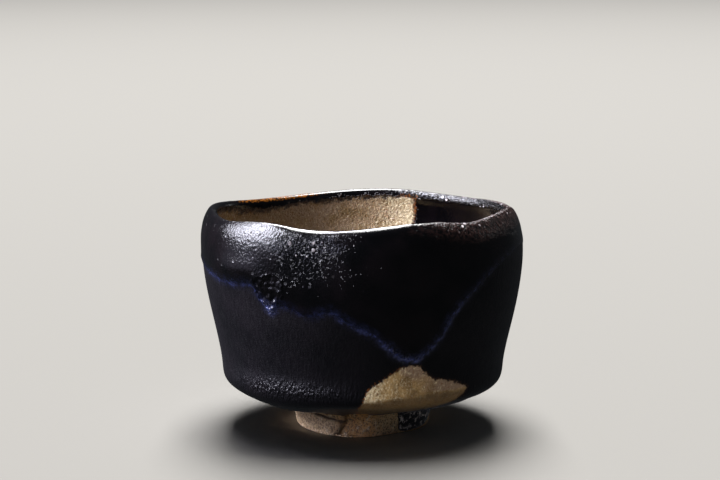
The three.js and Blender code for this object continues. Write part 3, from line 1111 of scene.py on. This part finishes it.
    def _tool_relief(self, skin: Skin) -> np.ndarray:
        """Gives the relief of the lip's inner edge, the throwing rings and the trimming rings."""
        relief = -self.lip_undercut * ease(0.6, 6.4, skin.past_lip) * ease(26, 12, skin.past_lip)
        spiral = skin.path / self.ring_pitch + skin.azimuth / 360
        relief += self.ring_depth * ease(8, 16, skin.past_lip) * (np.sin(2 * np.pi * spiral) - 1) / 2
        cuts = skin.path / self.trim_pitch + 0.35 * skin.grain(14, 4.1)
        under = ease(16, 11, skin.path) * ease(-8.5, -6, skin.path) * skin.outside
        return relief + self.trim_depth * under * (np.sin(2 * np.pi * cuts) - 1) / 2

    def _torn_relief(self, skin: Skin) -> np.ndarray:
        """Gives the relief of the torn pocket: a broken ridge round it and lumps in its sunk middle."""
        torn = np.where(skin.outside, TEAR.distance(skin.azimuth, skin.path, skin.radius), OUT_OF_REACH)
        ragged = torn + 1.5 * skin.grain(2.2, 5.5) + 0.6 * skin.grain(0.9, 7.1)
        ridge = bell(-0.3, 0.6, ragged) * (0.5 + 1.3 * skin.grain(1.2, 3.4))
        lumps = 0.45 * skin.grain(1.6, 1.2) - 0.4
        return self.torn_ridge * ridge * ease(68, 62, skin.path) + ease(0, 1.6, ragged) * lumps

    def _swell_relief(self, skin: Skin, marks: dict[Mark, np.ndarray]) -> np.ndarray:
        """Gives the relief of the wrinkled turn, the roll, the bulge, its dent and the pebbles."""
        upper = marks[Mark.UPPER]
        relief = self.wrinkle_depth * marks[Mark.TURN] * skin.grain(2.2, 6.2, stretch=1.6)
        roll = Stretch.ROLL.on(skin) * bell(5.2, 4.0, upper) * ease(0, 2.5, upper)
        relief += self.roll * roll * skin.outside
        bulge = Stretch.BULGE.on(skin) * bell(73, 9, skin.path)
        dent = Stretch.DENT.on(skin) * bell(70, 13, skin.path)
        relief += self.bulge * (bulge - 1.6 * dent) * skin.outside
        pebbled = np.clip(marks[Mark.GRIT], 0, 1) * ease(0, 2, upper)
        return relief + self.pebble_depth * pebbled * skin.grain(3.0, 9.4)

    def _foot_cuts(self, skin: Skin) -> np.ndarray:
        """Gives the relief of the foot: rough clay, one facet cut away from the next and a short groove.

        Args:
            skin: The bowl's points.

        Returns:
            The relief in millimetres, for points on the foot.
        """
        rough = skin.grain(4.4, 2.7) + 0.6 * skin.grain(1.9, 8.9)
        past = self._past_facet(skin)
        facet = ease(-2.4, 1.6, past) * ease(24, 4, past)
        chips = ease(0.1, 0.35, skin.grain(3.1, 6.6)) * ease(2.0, 0.8, skin.height)
        cuts = self.facet_depth * facet + self.groove_depth * self._groove(skin)
        cuts += self.chip_depth * chips * Stretch.FOOT_CHIPS.on(skin)
        return self.foot_rough * (rough - 0.6) - cuts

    @staticmethod
    def _past_facet(skin: Skin) -> np.ndarray:
        """Gives how many degrees a point lies past the slanting edge where two facets of the foot meet."""
        slant = 249.5 + 1.15 * skin.height
        return turn_between(0, skin.azimuth) + 360 - slant + 2.0 * skin.grain(2.4, 3.3)

    @staticmethod
    def _groove(skin: Skin) -> np.ndarray:
        """Gives how near a point lies to the short groove under the top of the foot, up to 1."""
        line = 7.7 - 0.045 * (skin.azimuth - 222)
        return bell(line, 0.6, skin.height) * Stretch.FOOT_GROOVE.on(skin)

    @staticmethod
    def _store(piece: bpy.types.Object, marks: dict[Mark, np.ndarray]) -> None:
        """Stores each measure on the mesh, for the material to read."""
        for mark in Mark:
            layer = piece.data.attributes.new(mark.value, "FLOAT", "POINT")
            layer.data.foreach_set("value", marks[mark].astype(np.float32))


@dataclass(frozen=True)
class Softbox:
    """One soft studio light, by the direction it shines from: degrees, metres and watts."""

    name: str
    azimuth: float
    elevation: float
    distance: float
    width: float
    height: float
    power: float
    colour: str = "ffffff"
    bowl_only: bool = False

    def build(self, target: Vector, bowl: bpy.types.Object) -> bpy.types.Object:
        """Hangs the light and turns it to its target.

        Args:
            target: The point that it shines at.
            bowl: What it lights alone, where it is flagged off the floor.

        Returns:
            The light's object.
        """
        light = bpy.data.lights.new(self.name, "AREA")
        light.shape = "RECTANGLE"
        light.size, light.size_y = self.width, self.height
        light.energy = self.power
        light.color = linear(self.colour)[:3]
        around, up = math.radians(self.azimuth), math.radians(self.elevation)
        away = Vector((math.cos(around) * math.cos(up), math.sin(around) * math.cos(up), math.sin(up)))
        lamp = bpy.data.objects.new(self.name, light)
        lamp.location = target + away * self.distance
        lamp.rotation_euler = away.to_track_quat("Z", "Y").to_euler()
        bpy.context.scene.collection.objects.link(lamp)
        if self.bowl_only:
            lit = bpy.data.collections.new(f"lit_by_{self.name}")
            lit.objects.link(bowl)
            lamp.light_linking.receiver_collection = lit
        return lamp


@dataclass(frozen=True)
class Studio:
    """The pale floor, the soft lights and the camera."""

    floor_size: float = 16.0
    floor_colour: str = "b4b1ac"
    floor_roughness: float = 0.9
    world_colour: str = "8f949c"
    world_strength: float = 0.12
    camera_place: tuple[float, float, float] = (-0.0008, -0.753, 0.196)
    camera_pitch: float = 9.45
    lens: float = 100.0
    sensor: float = 36.0
    target: tuple[float, float, float] = (0, 0, 0.045)
    lights: tuple[Softbox, ...] = (
        Softbox("key", 183, 40, 0.9, 0.7, 0.6, 43.0, "f0f0ff", bowl_only=True),
        Softbox("wing", 120, 57, 0.9, 0.5, 0.38, 12.0, "f4f2ff", bowl_only=True),
        Softbox("top", 90, 71, 5.2, 2.1, 4.0, 448.0),
        Softbox("back", 90, 66, 1.0, 0.26, 0.62, 10.0, bowl_only=True),
        Softbox("glow", 190, 12, 0.9, 0.8, 0.8, 1.2, "e2deff", bowl_only=True),
        Softbox("low", 222, 18, 1.2, 0.2, 0.2, 2.2, "e0e0ff", bowl_only=True),
        Softbox("rim", 48, 8, 1.2, 0.12, 0.3, 0.1, bowl_only=True),
    )

    def build(self, bowl: bpy.types.Object) -> None:
        """Sets up the floor, the world, the lights and the camera.

        Args:
            bowl: What the flagged lights shine on.
        """
        self._floor()
        world = bpy.data.worlds.new("studio")
        world.use_nodes = True
        background = world.node_tree.nodes["Background"]
        background.inputs["Color"].default_value = linear(self.world_colour)
        background.inputs["Strength"].default_value = self.world_strength
        bpy.context.scene.world = world
        for light in self.lights:
            light.build(Vector(self.target), bowl)
        camera = bpy.data.cameras.new("camera")
        camera.lens, camera.sensor_width = self.lens, self.sensor
        camera.clip_end = self.floor_size * 2
        stand = bpy.data.objects.new("camera", camera)
        stand.location = self.camera_place
        stand.rotation_euler = (math.radians(90 - self.camera_pitch), 0, 0)
        bpy.context.scene.collection.objects.link(stand)
        bpy.context.scene.camera = stand
        bpy.context.scene.view_settings.view_transform = "Standard"
        LOG.info("studio: %d lights", len(self.lights))

    def _floor(self) -> None:
        """Lays the plain pale floor."""
        bpy.ops.object.select_all(action="DESELECT")
        bpy.ops.mesh.primitive_plane_add(size=self.floor_size)
        floor = bpy.context.object
        floor.name = "floor"
        material = bpy.data.materials.new("pale_paper")
        material.use_nodes = True
        shader = material.node_tree.nodes["Principled BSDF"]
        shader.inputs["Base Color"].default_value = linear(self.floor_colour)
        shader.inputs["Roughness"].default_value = self.floor_roughness
        floor.data.materials.append(material)
        floor.visible_glossy = False


def main() -> None:
    """Builds the bowl and the studio."""
    logging.basicConfig(level=logging.INFO, format="%(name)s: %(message)s")
    bowl = TeaBowl().build()
    Studio().build(bowl)


if __name__ == "__main__":
    main()
